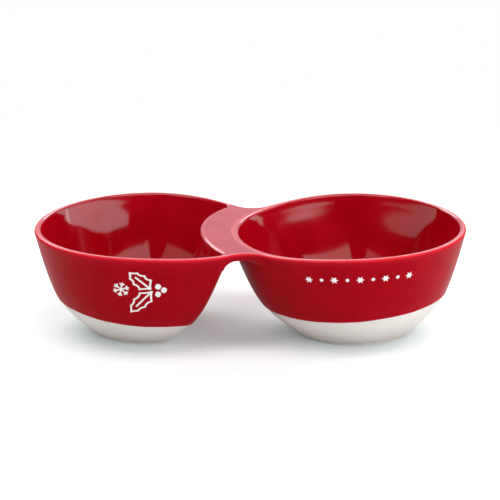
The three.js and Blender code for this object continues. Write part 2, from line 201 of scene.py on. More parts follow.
def roundPlan(inset, skinDepth):
    # plain circle about the round bowl's centre
    angle = np.arange(bowlForm["roundColumns"]) * (2 * np.pi / bowlForm["roundColumns"])
    return circle(halfSpacing, 0.0, rimRadius - inset - skinDepth, angle)


crescentCounts = [bowlForm[key] for key in ("outerColumns", "hornColumns", "hollowColumns", "hornColumns")]


def crescentPlan(inset, skinDepth):
    # outer arc, front horn, hollow arc and back horn, each swept by its share of the columns
    x, y, radius, outer, inner = hornAt(inset, skinDepth)
    reach, hollow = rimRadius - inset - skinDepth, biteRadius + biteShare * inset + skinDepth
    sweep = np.concatenate([np.arange(count) / count for count in crescentCounts])
    part = np.repeat(np.arange(len(crescentCounts)), crescentCounts)
    return np.choose(part[:, None], [
        circle(-halfSpacing, 0.0, reach, outer + (2 * np.pi - 2 * outer) * sweep),
        circle(x - halfSpacing, -y, radius, -outer + (inner + outer) * sweep),
        circle(halfSpacing, 0.0, hollow, np.pi + inner - 2 * inner * sweep),
        circle(x - halfSpacing, y, radius, -inner + (inner + outer) * sweep),
    ])


bowls = dict(
    round=dict(
        side=1.0, plan=roundPlan, columns=bowlForm["roundColumns"], centre=halfSpacing, middle=halfSpacing,
        glazeLine=23.6, glazeTilt=4.4, glazeHigh=330.0, swell=2.6, seed=2,
    ),
    crescent=dict(
        side=-1.0, plan=crescentPlan, columns=sum(crescentCounts), centre=-halfSpacing, middle=-76.4,
        glazeLine=18.9, glazeTilt=4.8, glazeHigh=207.0, swell=0.0, seed=8,
    ),
)


def wrap(bowl, rows):
    # each row of inset, skin, height and share goes round the bowl's outline, leans with depth and settles
    inset, skinDepth, z, share = np.moveaxis(rows, -1, 0)
    plan = bowl["plan"](inset, skinDepth)
    x = bowl["middle"] + (plan[..., 0] - bowl["middle"]) * share + bowl["side"] * leanAt(z)
    return settle(stacked(x, plan[..., 1] * share, z))


def headings(bowl):
    # direction of each column from the bowl's centre at the rim
    flush = np.zeros((1, bowl["columns"]))
    plan = bowl["plan"](flush, flush)[0]
    return np.arctan2(plan[:, 1], plan[:, 0] - bowl["centre"])


unevenForm = dict(waves=7, shortest=0.75, longest=1.5)


def uneven(points, length, seed):
    # hand-made unevenness: the mean of several sine waves of about this length, each in its own direction
    chance = np.random.default_rng(seed)
    count = unevenForm["waves"]
    waves = chance.normal(size=(count, 3))
    lengths = length * chance.uniform(unevenForm["shortest"], unevenForm["longest"], count)
    waves *= (2 * np.pi / lengths / np.linalg.norm(waves, axis=1))[:, None]
    return np.sin(points @ waves.T + chance.uniform(0, 2 * np.pi, count)).mean(-1)


def gridNormals(rows):
    # cross product of the steps across and along the grid
    across = np.roll(rows, -1, 1) - np.roll(rows, 1, 1)
    normal = np.cross(across, np.gradient(rows, axis=0))
    return normal / np.maximum(np.linalg.norm(normal, axis=-1, keepdims=True), tiny)


def quads(count, columns, closedRows=False):
    # four corners of every cell of a grid whose columns run round
    row = columns * np.arange(count if closedRows else count - 1)[:, None]
    up = (row + columns) % (count * columns)
    here = np.arange(columns)[None, :]
    on = (here + 1) % columns
    return np.stack([row + here, row + on, up + on, up + here], -1).reshape(-1, 4)


def shell(rows):
    # rings joined by quads, with the first and the last ring closed on their mean points
    count, columns = rows.shape[:2]
    points = np.concatenate([rows.reshape(-1, 3), rows[:1].mean(1), rows[-1:].mean(1)])
    here = np.arange(columns)
    on = (here + 1) % columns
    lastRing, middle = (count - 1) * columns, count * columns
    ends = [stacked(on, here, middle), stacked(here + lastRing, on + lastRing, middle + 1)]
    return points, [quads(count, columns), *ends]


def addPiece(name, points, faces, material, nodes, values=None):
    # puts the arrays into a mesh, in metres, and ties the piece to the frame
    mesh = bpy.data.meshes.new(name)
    corners = [face for block in faces for face in np.asarray(block).tolist()]
    mesh.from_pydata((points * millimetre).tolist(), [], corners)
    mesh.polygons.foreach_set("use_smooth", np.ones(len(mesh.polygons), bool))
    for key, value in (values or {}).items():
        mesh.attributes.new(key, "FLOAT", "POINT").data.foreach_set("value", np.asarray(value, np.float32))
    mesh.materials.append(material)
    mesh.update()
    piece = bpy.data.objects.new(name, mesh)
    scene.collection.objects.link(piece)
    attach(piece, "root")
    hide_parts(*nodes)


def addNode(tree, kind, inputs=None, **settings):
    # one shader node of this kind, with its settings and the values of its sockets
    node = tree.nodes.new(kind)
    for key, value in settings.items():
        setattr(node, key, value)
    for key, value in (inputs or {}).items():
        node.inputs[key].default_value = value
    return node


def addSockets(group, way, sockets):
    # the named ends of a shared group, each of its own kind
    for name, kind in sockets.items():
        group.interface.new_socket(name, in_out=way, socket_type=f"NodeSocket{kind}")


def wire(tree, *pairs):
    # joins each output to its input
    for start, end in pairs:
        tree.links.new(start, end)


def wireMix(tree, mix, factor, first, second):
    # a mix node has its factor at 0, its values at 2 and 3 and its colours at 6 and 7
    a, b, result = (6, 7, 2) if mix.data_type == "RGBA" else (2, 3, 0)
    wire(tree, (factor, mix.inputs[0]), (first, mix.inputs[a]), (second, mix.inputs[b]))
    return mix.outputs[result]


driftForm = dict(
    broadDetail=3.0, fineDetail=2.0, fineTimes=7.0, fineShare=0.3, thickUpTo=0.45, thinFrom=0.85,
)


def makeGlazeDrift():
    # shared effect: broad noise and a share of fine noise shift a glaze between two colours, change its gloss
    # and roll its surface; the edge mask takes it over to the roughness of a thin coat and to a lighter
    # colour, partly the thin coat's own and partly a painted highlight
    group = bpy.data.node_groups.new("glazeDrift", "ShaderNodeTree")
    addSockets(group, "INPUT", dict(
        Place="Vector", Thick="Color", Thin="Color", WornAndHighlight="Color", Edge="Float", Size="Float",
        Smooth="Float", Rough="Float", WornRough="Float",
    ))
    addSockets(group, "OUTPUT", dict(Colour="Color", Roughness="Float", Height="Float"))
    take, give = addNode(group, "NodeGroupInput").outputs, addNode(group, "NodeGroupOutput").inputs
    broad = addNode(group, "ShaderNodeTexNoise", dict(Detail=driftForm["broadDetail"]))
    fine = addNode(group, "ShaderNodeTexNoise", dict(Detail=driftForm["fineDetail"]))
    fineSize = addNode(group, "ShaderNodeMath", {1: driftForm["fineTimes"]}, operation="MULTIPLY")
    both = addNode(group, "ShaderNodeMath", {1: driftForm["fineShare"]}, operation="MULTIPLY_ADD")
    drift = addNode(group, "ShaderNodeMapRange",
                    {"From Min": driftForm["thickUpTo"], "From Max": driftForm["thinFrom"]})
    gloss = addNode(group, "ShaderNodeMapRange")
    colour, wornAndHighlightColour = (addNode(group, "ShaderNodeMix", data_type="RGBA") for _ in range(2))
    wornGloss = addNode(group, "ShaderNodeMix")
    wire(
        group,
        (take["Place"], broad.inputs["Vector"]), (take["Place"], fine.inputs["Vector"]),
        (take["Size"], broad.inputs["Scale"]), (take["Size"], fineSize.inputs[0]),
        (fineSize.outputs[0], fine.inputs["Scale"]),
        (fine.outputs["Fac"], both.inputs[0]), (broad.outputs["Fac"], both.inputs[2]),
        (both.outputs[0], drift.inputs["Value"]), (drift.outputs["Result"], gloss.inputs["Value"]),
        (take["Smooth"], gloss.inputs["To Min"]), (take["Rough"], gloss.inputs["To Max"]),
    )
    drifted = wireMix(group, colour, drift.outputs["Result"], take["Thick"], take["Thin"])
    wornAndLit = wireMix(group, wornAndHighlightColour, take["Edge"], drifted, take["WornAndHighlight"])
    rough = wireMix(group, wornGloss, take["Edge"], gloss.outputs["Result"], take["WornRough"])
    wire(group, (wornAndLit, give["Colour"]), (rough, give["Roughness"]), (both.outputs[0], give["Height"]))
    return group


grainForm = dict(
    grainDetail=4.0, cloudDetail=2.0, cloudTimes=0.05, cloudShare=0.5, specksFrom=0.72, specksFull=1.05,
)


def makeGrain():
    # shared effect: specks where fine noise and a share of cloudy noise run high together, and the fine noise
    # alone as grain of the surface
    group = bpy.data.node_groups.new("clayGrain", "ShaderNodeTree")
    addSockets(group, "INPUT", dict(
        Place="Vector", Body="Color", Speck="Color", Size="Float", Amount="Float",
    ))
    addSockets(group, "OUTPUT", dict(Colour="Color", Height="Float"))
    take, give = addNode(group, "NodeGroupInput").outputs, addNode(group, "NodeGroupOutput").inputs
    grain = addNode(group, "ShaderNodeTexNoise", dict(Detail=grainForm["grainDetail"]))
    cloud = addNode(group, "ShaderNodeTexNoise", dict(Detail=grainForm["cloudDetail"]))
    cloudSize = addNode(group, "ShaderNodeMath", {1: grainForm["cloudTimes"]}, operation="MULTIPLY")
    both = addNode(group, "ShaderNodeMath", {1: grainForm["cloudShare"]}, operation="MULTIPLY_ADD")
    specks = addNode(group, "ShaderNodeMapRange",
                     {"From Min": grainForm["specksFrom"], "From Max": grainForm["specksFull"]})
    share = addNode(group, "ShaderNodeMath", operation="MULTIPLY")
    colour = addNode(group, "ShaderNodeMix", data_type="RGBA")
    wire(
        group,
        (take["Place"], grain.inputs["Vector"]), (take["Place"], cloud.inputs["Vector"]),
        (take["Size"], grain.inputs["Scale"]), (take["Size"], cloudSize.inputs[0]),
        (cloudSize.outputs[0], cloud.inputs["Scale"]),
        (cloud.outputs["Fac"], both.inputs[0]), (grain.outputs["Fac"], both.inputs[2]),
        (both.outputs[0], specks.inputs["Value"]),
        (specks.outputs["Result"], share.inputs[0]), (take["Amount"], share.inputs[1]),
    )
    speckled = wireMix(group, colour, share.outputs[0], take["Body"], take["Speck"])
    wire(group, (speckled, give["Colour"]), (grain.outputs["Fac"], give["Height"]))
    return group


glazeDrift, clayGrain = makeGlazeDrift(), makeGrain()


def startMaterial(name, group, looks):
    # a principled shader fed by a shared group on object coordinates, with the group's height as a bump
    material = bpy.data.materials.new(name)
    material.use_nodes = True
    tree = material.node_tree
    shader = tree.nodes["Principled BSDF"]
    place = addNode(tree, "ShaderNodeTexCoord")
    effect = addNode(tree, "ShaderNodeGroup", looks["group"], node_tree=group)
    bump = addNode(tree, "ShaderNodeBump", dict(Strength=looks["bumpStrength"], Distance=looks["bumpDepth"]))
    wire(
        tree,
        (place.outputs["Object"], effect.inputs["Place"]),
        (effect.outputs["Colour"], shader.inputs["Base Color"]),
        (effect.outputs["Height"], bump.inputs["Height"]), (bump.outputs["Normal"], shader.inputs["Normal"]),
    )
    for key, value in looks["shader"].items():
        shader.inputs[key].default_value = value
    return material, tree, shader, effect


# the worn colours, lighter than the glaze, are partly the thin coat on edges and partly a painted highlight
# on the lips
glossLooks = dict(
    group=dict(Thick=(0.34, 0.0003, 0.005, 1), Thin=(0.43, 0.0008, 0.009, 1), WornAndHighlight=(0.72, 0.014, 0.03, 1),
               Size=38.0, Smooth=0.05, Rough=0.1, WornRough=0.42),
    shader={"IOR": 1.5}, bumpStrength=0.05, bumpDepth=0.0004,
)
satinLooks = dict(
    group=dict(Thick=(0.275, 0.0003, 0.0045, 1), Thin=(0.33, 0.0008, 0.007, 1), WornAndHighlight=(0.66, 0.016, 0.03, 1),
               Size=60.0, Smooth=0.34, Rough=0.42, WornRough=0.36),
    shader={"IOR": 1.5, "Specular IOR Level": 0.035}, bumpStrength=0.12, bumpDepth=0.0003,
)
clayLooks = dict(
    group=dict(Body=(0.705, 0.672, 0.643, 1), Speck=(0.40, 0.35, 0.30, 1), Size=900.0, Amount=0.3),
    shader={"Roughness": 0.8, "IOR": 1.45}, bumpStrength=0.2, bumpDepth=0.0003,
)
markLooks = dict(
    group=dict(Body=(0.80, 0.81, 0.78, 1), Speck=(0.62, 0.52, 0.50, 1), Size=1400.0, Amount=0.35),
    shader={"Roughness": 0.5, "IOR": 1.45}, bumpStrength=0.2, bumpDepth=0.0001,
)


def glazeMaterial(name, looks):
    # the group also drives roughness, and the piece's own mask attribute takes its edges to the worn looks:
    # a thin coat's roughness and a lighter colour, partly the thin coat's own and partly painted highlight
    material, tree, shader, effect = startMaterial(name, glazeDrift, looks)
    thinAndLit = addNode(tree, "ShaderNodeAttribute", attribute_name="thinAndLit")
    wire(tree, (thinAndLit.outputs["Fac"], effect.inputs["Edge"]),
         (effect.outputs["Roughness"], shader.inputs["Roughness"]))
    return material


glossRed, satinRed = glazeMaterial("glossRedGlaze", glossLooks), glazeMaterial("satinRedGlaze", satinLooks)
bareClay = startMaterial("bareStoneware", clayGrain, clayLooks)[0]
whitePaint = startMaterial("whiteMarkPaint", clayGrain, markLooks)[0]
print("materials made")

# glossy inside: floor, inner wall and lip, with a plain back set into the clay
# the lip's mask lightens the lip's colour: partly thin glaze on the edge, partly a painted highlight
insideForm = dict(
    coat=0.5, wallRows=56, lipTurns=14, lipBlend=0.025, lipThinAndLit=1.0, floorRings=14, floorMiddle=0.04,
    backRows=24, backTurns=5, backRings=5, backMiddle=0.12,
    rollLength=28.0, rollDepth=0.24, rollFade=12.0, ringDepth=0.05, ringPitch=36.0, ringAt=55.0,
)


def addInside(name, bowl, nodes):
    # back from the floor's middle up and over the lip to the seam on its outer rounding, then the front from
    # the seam over the lip and down to the floor's middle
    form = insideForm
    coat = form["coat"]
    turns = np.linspace(wallSlope, quarter, form["lipTurns"])  # the lip runs on from the sloping wall
    outerTurns = np.linspace(seamTurn, quarter, form["lipTurns"])
    backTurns = np.linspace(0, quarter, form["backTurns"])
    backShares = np.linspace(form["backMiddle"], 1, form["backRings"])
    back = np.concatenate([
        spread(bowl, flatRows(floorInset, wall, floorHeight - coat, backShares[:-1])),
        innerRows(bowl, np.linspace(1, 0, form["backRows"])[:-1], coat),
        lipRows(bowl, backTurns[:-1], coat, True),
        lipRows(bowl, outerTurns[::-1], coat),
    ])
    floorShares = np.linspace(1, form["floorMiddle"], form["floorRings"])
    front = np.concatenate([
        lipRows(bowl, outerTurns[:-1], 0.0),
        lipRows(bowl, turns[::-1], 0.0, True),
        innerRows(bowl, np.linspace(form["lipBlend"], 1, form["wallRows"])[:-1], 0.0),
        spread(bowl, flatRows(floorInset, wall, floorHeight, floorShares)),
    ])
    backRows, frontRows = wrap(bowl, back), wrap(bowl, front)
    height = front[:, 0, 2]
    # rolls by hand and throwing rings push the wall along its normal and fade out towards the lip
    rings = form["ringDepth"] * np.sin(2 * np.pi * (height - form["ringAt"]) / form["ringPitch"])
    push = form["rollDepth"] * uneven(frontRows, form["rollLength"], bowl["seed"]) + rings[:, None]
    push = push * np.clip((wallTop - height) / form["rollFade"], 0, 1)[:, None]
    frontRows = frontRows + gridNormals(frontRows) * push[..., None]
    # painted highlight, partly thin glaze: the mask is full at the seam on the lip's outer rounding and falls
    # as a square over the top to the inner wall
    overLip = np.clip(np.arange(len(front)) / (len(outerTurns) - 1 + len(turns)), 0, 1)
    thinAndLit = np.concatenate([np.zeros(len(back)), form["lipThinAndLit"] * (1 - overLip) ** 2])
    points, faces = shell(np.concatenate([backRows, frontRows]))
    values = np.concatenate([np.repeat(thinAndLit, bowl["columns"]), [0, 0]])
    addPiece(name, points, faces, glossRed, nodes, dict(thinAndLit=values))


addInside("round_inside", bowls["round"], ["round_liner_glaze"])
addInside("crescent_inside", bowls["crescent"], ["crescent_liner_glaze"])
print("insides made")

# satin outside down to the tilted dip line, where the glaze ends in a rounded bead
# the lip's mask and its fade lighten the colour near the lip: partly thin glaze on the edge, partly a painted
# highlight
outsideForm = dict(
    coat=0.55, wallRows=64, lipTurns=9, lipThinAndLit=0.25, lipLitFade=40.0, backTurns=4, backRows=12,
    beadRows=7, beadShare=0.005, beadProud=0.1, beadReach=0.03, beadThin=0.25, lowThin=0.12, lowFade=22.0,
    wave=0.3, ripples=((5, 1.0, 0.5), (11, 2.3, 0.3), (23, 0.0, 0.15)),  # turns, start and share of each
)


def addOutside(name, bowl, nodes):
    # front from the bead up to the seam on the lip's outer rounding, back from there down inside the clay
    form = outsideForm
    coat, proud = form["coat"], form["beadProud"]
    h = headings(bowl)
    line = bowl["glazeLine"] + bowl["glazeTilt"] * np.cos(h - np.radians(bowl["glazeHigh"]))
    line = line + bowlForm["glazeBow"] * np.cos(2 * h)  # lower at front and back
    ripple = sum(share * np.sin(turns * h + start) for turns, start, share in form["ripples"])
    line = line + form["wave"] * ripple
    low = shareAt(line)[None, :]
    curl = np.linspace(quarter, 0, form["beadRows"])[:, None]
    climb = np.linspace(0, 1, form["wallRows"])[1:]
    toTop = low * (1 - climb[:, None])
    bead = outerRows(low + form["beadShare"] * np.sin(curl), (coat + proud) * (1 - np.cos(curl)) - proud)
    face = outerRows(toTop, -proud * np.exp(-((toTop - low) / form["beadReach"]) ** 2))
    lip = lipRows(bowl, np.linspace(0, seamTurn, form["lipTurns"])[1:], 0.0)
    lipBack = lipRows(bowl, np.linspace(seamTurn, 0, form["backTurns"])[:-1], coat)
    back = outerRows((low + form["beadShare"]) * np.linspace(0, 1, form["backRows"])[:-1, None], coat)
    rows = wrap(bowl, np.concatenate([bead, face, lip, lipBack, back]))
    # lighter just above the bead where the coat thins, and lighter towards the lip as a painted highlight,
    # partly the coat thinning over the edge
    nearBead = form["lowThin"] * np.exp(-climb * form["lowFade"])
    nearLipLit = form["lipThinAndLit"] * np.exp(-(1 - climb) * form["lipLitFade"])
    thinAndLit = np.concatenate([
        np.linspace(form["beadThin"], form["lowThin"], len(bead)), np.maximum(nearBead, nearLipLit),
        np.linspace(form["lipThinAndLit"], 1, len(lip)), np.zeros(len(lipBack) + len(back)),
    ])
    faces = [quads(len(rows), bowl["columns"], closedRows=True)]
    values = np.repeat(thinAndLit, bowl["columns"])
    addPiece(name, rows.reshape(-1, 3), faces, satinRed, nodes, dict(thinAndLit=values))


addOutside("round_outside", bowls["round"], ["round_outer_glaze"])
addOutside("crescent_outside", bowls["crescent"], ["crescent_outer_glaze"])
print("outsides made")

# bare clay: recessed underside, low rounded foot ring, groove above it, and the wall up under the glaze
baseForm = dict(
    under=0.5, underCoat=0.7, bareHeight=30.0, bareFrom=0.98, bareRows=30, hiddenRows=12,
    edgeShares=(1.0, 0.996, 0.99), edgeDepths=(0.35, 0.1, 0.0), lipTurns=5, innerRows=20,
    middle=0.1, underRings=8, floorRings=5,
    ringRound=0.7, ringTurns=6, ringTop=1.55, ringEdge=0.2, grooveDepth=0.5, grooveEdge=0.12,
)


def addBase(name, bowl, nodes):
    # from the underside's middle out over the ring, up the wall, over the lip and down to the floor's middle
    form = baseForm
    under, hidden, middle = form["under"], form["underCoat"], form["middle"]
    r, ringTop, grooveEdge = form["ringRound"], form["ringTop"], form["grooveEdge"]
    ringOuter = bowlForm["footSetback"] + under
    ringInner = ringOuter + bowlForm["footWidth"]
    groove = ringOuter + form["grooveDepth"]
    bend = np.linspace(0, quarter, form["ringTurns"])
    ring = np.concatenate([
        stacked(ringInner - r + r * np.cos(bend), r - r * np.sin(bend)),
        stacked(ringOuter + r - r * np.sin(bend), r - r * np.cos(bend)),
        [(ringOuter, ringTop - form["ringEdge"]), (ringOuter + grooveEdge, ringTop),
         (groove, ringTop + grooveEdge), (groove, footHeight - grooveEdge), (ringOuter, footHeight)],
    ])
    bareTop = shareAt(form["bareHeight"])
    outside = np.concatenate([
        flatRows(footInset, ringInner, footHeight, np.linspace(middle, 1, form["underRings"])),
        stacked(footInset, ring[:, 0], ring[:, 1], 1.0),
        outerRows(form["edgeShares"], under + np.array(form["edgeDepths"])),
        outerRows(np.linspace(form["bareFrom"], bareTop, form["bareRows"]), under),
        outerRows(np.linspace(bareTop, 0, form["hiddenRows"])[1:-1], hidden),
    ])
    turns = np.linspace(0, quarter, form["lipTurns"])[:-1]
    overLip = np.linspace(0, quarter, form["lipTurns"])[:0:-1]
    floorShares = np.linspace(1, middle, form["floorRings"])
    rows = np.concatenate([
        spread(bowl, outside), lipRows(bowl, turns, hidden), lipRows(bowl, overLip, hidden, True),
        innerRows(bowl, np.linspace(0, 1, form["innerRows"])[:-1], hidden),
        spread(bowl, flatRows(floorInset, wall, floorHeight - hidden, floorShares)),
    ])
    points, faces = shell(wrap(bowl, rows))
    addPiece(name, points, faces, bareClay, nodes)


addBase("round_base", bowls["round"], ["round_bowl_body", "round_foot_ring"])
addBase("crescent_base", bowls["crescent"], ["crescent_bowl_body", "crescent_foot_ring"])
print("bases made")

# bridge: the bowls' lip and wall carried round the waist, a flat top and a filleted underside
bridgeForm = dict(
    thickness=6.0, fillet=7.0, arcShare=0.72, stations=56, across=150, lipTurns=12, sideRows=10,
    topCoat=0.9, topEdge=0.7, endReach=1.4, endDrop=0.5,
    edge=1.9, edgeClear=1.7, edgeRun=4.5, edgeLeast=0.02, edgeSteps=9, edgeThin=0.1, cornerTries=12,
    rollLength=17.0, rollDepth=0.12, rollSeed=21, rollAlong=6.0, rollAcross=8.0,
)
undersideHeight = rimHeight - bridgeForm["thickness"]
station = 0.5 - 0.5 * np.cos(np.pi * np.linspace(0, 1, bridgeForm["stations"]))  # closer at both bowls
acrossShare = np.linspace(-1, 1, bridgeForm["across"])
mirrorPlan, mirrorPoint = np.array([1.0, -1.0]), np.array([1.0, -1.0, 1.0])


def waistPath(s, inset, skinDepth, z):
    # front edge in plan: an arc about the waist's centre that touches both bowls, then the crescent's circle
    # to its horn
    half, reach = halfSpacing + leanAt(z), rimRadius - inset - skinDepth
    arm, touch = np.hypot(half, waistCentre), np.arctan2(waistCentre, half)
    outer = hornAt(inset, skinDepth)[3]
    onArc = np.clip(s / bridgeForm["arcShare"], 0, 1)
    onHorn = np.clip((s - bridgeForm["arcShare"]) / (1 - bridgeForm["arcShare"]), 0, 1)
    turn, heading = touch + (np.pi - 2 * touch) * onArc, touch + (outer - touch) * onHorn
    x = np.where(onHorn > 0, reach * np.cos(heading) - half, (arm - reach) * np.cos(turn))
    y = np.where(onHorn > 0, -reach * np.sin(heading), (arm - reach) * np.sin(turn) - waistCentre)
    return x, y


def blend(share, start, end):
    # straight blend of two edges
    return (1 - share) * start + share * end


def patchPlan(roundRadius, roundX, hollowEdge, frontEdge):
    # surface spanned by four edges: the sum of both straight blends less the blend of the corners
    roundEdge = circle(roundX, 0.0, roundRadius, np.pi - np.arctan2(waistCentre, roundX) * acrossShare)
    front, back = frontEdge[:, None], (frontEdge * mirrorPlan)[:, None]
    s, v = station[:, None, None], ((acrossShare + 1) / 2)[None, :, None]
    corners = blend(s, blend(v, front[:1], back[:1]), blend(v, front[-1:], back[-1:]))
    return blend(s, roundEdge[None], hollowEdge[None]) + blend(v, front, back) - corners


def hollowPlan(inset, skinDepth, z):
    # the crescent's edge from its front horn through the hollow to its back horn, by arc length
    x, y, radius, outer, inner = hornAt(inset, skinDepth)
    hollow = biteRadius + biteShare * inset + skinDepth
    hornRun, hollowRun = radius * (outer + inner), hollow * 2 * inner
    along = (acrossShare + 1) / 2 * (2 * hornRun + hollowRun)
    a = np.clip(along / hornRun, 0, 1)
    b = np.clip((along - hornRun) / hollowRun, 0, 1)
    c = np.clip((along - hornRun - hollowRun) / hornRun, 0, 1)
    front = circle(x - halfSpacing, -y, radius, -outer + (inner + outer) * a)
    middle = circle(halfSpacing, 0.0, hollow, np.pi + inner - 2 * inner * b)
    back = circle(x - halfSpacing, y, radius, -inner + (inner + outer) * c)
    plan = np.where((a < 1)[:, None], front, np.where((b < 1)[:, None], middle, back))
    return plan - np.array([leanAt(z), 0.0])


def filletReach(slope):
    # how far a round fillet reaches from a wall of this slope
    return bridgeForm["fillet"] / np.tan((quarter + slope) / 2)


def filletDrop(away, slope):
    # how far the underside dips where the fillet joins it to a wall of this slope, away from the wall
    radius = bridgeForm["fillet"]
    inside = np.clip(filletReach(slope) - away, 0, radius * np.cos(slope))
    return radius - np.sqrt(radius ** 2 - inside ** 2)


roundSideSlope = wallSlope + bowlForm["baseLean"] / rimHeight
hollowSideSlope = np.arctan(biteShare * np.tan(wallSlope)) + bowlForm["baseLean"] / rimHeight


def undersideAt(x, y):
    # flat height less the fillets at the round wall and at the hollow or horn, whichever faces the point;
    # and how far the point is clear of the nearer wall
    inset, lean = insetAt(undersideHeight), leanAt(undersideHeight)
    fromRound = np.hypot(x - halfSpacing - lean, y) - (rimRadius - inset)
    hornX, hornY, radius, _, inner = hornAt(inset, 0.0)
    bearing = np.arctan2(np.abs(y), halfSpacing - lean - x)
    fromHollow = biteRadius + biteShare * inset - np.hypot(x - halfSpacing + lean, y)
    fromHorn = np.hypot(x - (hornX - halfSpacing - lean), np.abs(y) - hornY) - radius
    fromCrescent = np.where(bearing <= inner, fromHollow, fromHorn)
    drop = filletDrop(fromRound, roundSideSlope) + filletDrop(fromCrescent, hollowSideSlope)
    return undersideHeight - drop, np.minimum(fromRound, fromCrescent)


def addBridge(name, upper, side, lower, material, nodes, thinAndLit):
    # one loop per station: across the upper face, down the back, which is the front seen in a mirror, back
    # across the lower face and up the front
    loops = np.concatenate([upper, side[:, ::-1] * mirrorPoint, lower[:, ::-1], side], 1)
    ends = loops[[0, -1]]  # the ends run on into the walls
    ends[..., 0] += bridgeForm["endReach"] * np.array([[1.0], [-1.0]])
    ends[..., 2] -= bridgeForm["endDrop"]
    loops = settle(np.concatenate([ends[:1], loops, ends[1:]]))
    count, columns = loops.shape[:2]
    wide, tall = upper.shape[1], side.shape[1]
    top = np.arange(wide)
    bottom = 2 * wide + tall - 1 - top
    strip = stacked(top[:-1], top[1:], bottom[1:], bottom[:-1])
    backEnd = np.arange(wide - 1, wide + tall + 1)[None]
    frontEnd = np.append(np.arange(2 * wide + tall - 1, columns), 0)[None]
    caps = [strip, backEnd, frontEnd]
    last = (count - 1) * columns
    faces = [quads(count, columns), *(cap[:, ::-1] for cap in caps), *(cap + last for cap in caps)]
    values = np.tile(np.concatenate([np.zeros(wide), thinAndLit[::-1], np.zeros(wide), thinAndLit]), count)
    addPiece(name, loops.reshape(-1, 3), faces, material, nodes, dict(thinAndLit=values))


def raised(plan, z):
    # points of a plan at this height
    return stacked(plan[..., 0], plan[..., 1], z)


def lipStrip(turns, depth):
    # the lip's rounding carried along the waist
    inset, skinDepth, z, _ = lipRows(bowls["round"], turns, depth)[:, 0].T[:, None]
    return stacked(*waistPath(station[:, None], inset, skinDepth, z), z)


# top: flat between the four lip lines, lip round at front and back
apexEdge = stacked(*waistPath(station, 0.0, lipRadius, rimHeight))
topPlan = patchPlan(rimRadius - lipRadius, halfSpacing, hollowPlan(0.0, lipRadius, rimHeight), apexEdge)
topFace = raised(topPlan, rimHeight)
roll = uneven(topFace, bridgeForm["rollLength"], bridgeForm["rollSeed"]) * bridgeForm["rollDepth"]
fadeAlong = np.minimum(1, bridgeForm["rollAlong"] * station * (1 - station))
fadeAcross = np.minimum(1, bridgeForm["rollAcross"] * (1 - np.abs(acrossShare)))
topFace[..., 2] += roll * (fadeAlong[:, None] * fadeAcross)
topTurns = np.linspace(seamTurn, quarter, bridgeForm["lipTurns"])[:-1]
topLip = np.concatenate([lipStrip(topTurns[:1], bridgeForm["topEdge"]), lipStrip(topTurns, 0.0)], 1)
# the top's lip strips take the lighter worn colour: partly thin glaze, partly a painted highlight
topThinAndLit = np.append(0, insideForm["lipThinAndLit"] * (quarter - topTurns) / (quarter - seamTurn))
addBridge("bridge_top", topFace, topLip, raised(topPlan, rimHeight - bridgeForm["topCoat"]),
          glossRed, ["bridge_top_glaze"], topThinAndLit)

# underside: the sides run down to a rounded lower edge, and fillets flare into both bowls
cornerZ = np.full_like(station, undersideHeight)
for _ in range(bridgeForm["cornerTries"]):  # the corner's height and place settle together
    cornerX, cornerY = waistPath(station, insetAt(cornerZ), 0.0, cornerZ)
    cornerZ, clearOf = undersideAt(cornerX, cornerY)
fullness = np.clip((clearOf + bridgeForm["edgeClear"]) / bridgeForm["edgeRun"], bridgeForm["edgeLeast"], 1)
rounding = bridgeForm["edge"] * fullness
sideShare = np.linspace(0, 1, bridgeForm["sideRows"])
sideZ = (cornerZ + rounding)[:, None] + (wallTop - cornerZ - rounding)[:, None] * sideShare
sideStrip = stacked(*waistPath(station[:, None], insetAt(sideZ), 0.0, sideZ), sideZ)
turnX, turnY = waistPath(station, insetAt(cornerZ), rounding, cornerZ)
turnPoint = stacked(turnX, turnY, undersideAt(turnX, turnY)[0])
cornerPoint = stacked(cornerX, cornerY, cornerZ)
edgeShare = np.linspace(0, 1, bridgeForm["edgeSteps"])[1:-1, None]
edgeStrip = bent(turnPoint[:, None], cornerPoint[:, None], sideStrip[:, :1], edgeShare)
sideLip = lipStrip(np.linspace(0, seamTurn, outsideForm["lipTurns"])[1:], 0.0)
footOfRound = undersideHeight - filletReach(roundSideSlope) * np.cos(roundSideSlope)
footOfHollow = undersideHeight - filletReach(hollowSideSlope) * np.cos(hollowSideSlope)
underPlan = patchPlan(
    rimRadius - insetAt(footOfRound), halfSpacing + leanAt(footOfRound),
    hollowPlan(insetAt(footOfHollow), 0.0, footOfHollow), stacked(turnX, turnY),
)
underFace = raised(underPlan, undersideAt(underPlan[..., 0], underPlan[..., 1])[0])
edgeThin, lipThinAndLit = bridgeForm["edgeThin"], outsideForm["lipThinAndLit"]
# the underside's mask rises from the lower edge, where the coat thins, up the side to the lip, where the
# lighter colour is partly a painted highlight
underThinAndLit = np.concatenate([
    edgeThin * np.linspace(0, 1, bridgeForm["edgeSteps"] - 1)[1:],
    np.linspace(edgeThin, lipThinAndLit, bridgeForm["sideRows"]), np.linspace(lipThinAndLit, 1, sideLip.shape[1]),
])
underSide = np.concatenate([edgeStrip, sideStrip, sideLip], 1)
addBridge("bridge_under", raised(topPlan, wallTop), underSide, underFace,
          satinRed, ["bridge_under_glaze", "bridge_web"], underThinAndLit)
print("bridge made")

# painted marks: thin raised strokes that follow the wall
markForm = dict(cell=0.15, proud=0.13, soft=0.24, sunk=0.25, shake=0.14, shakeLength=2.6, shakeSeed=5)


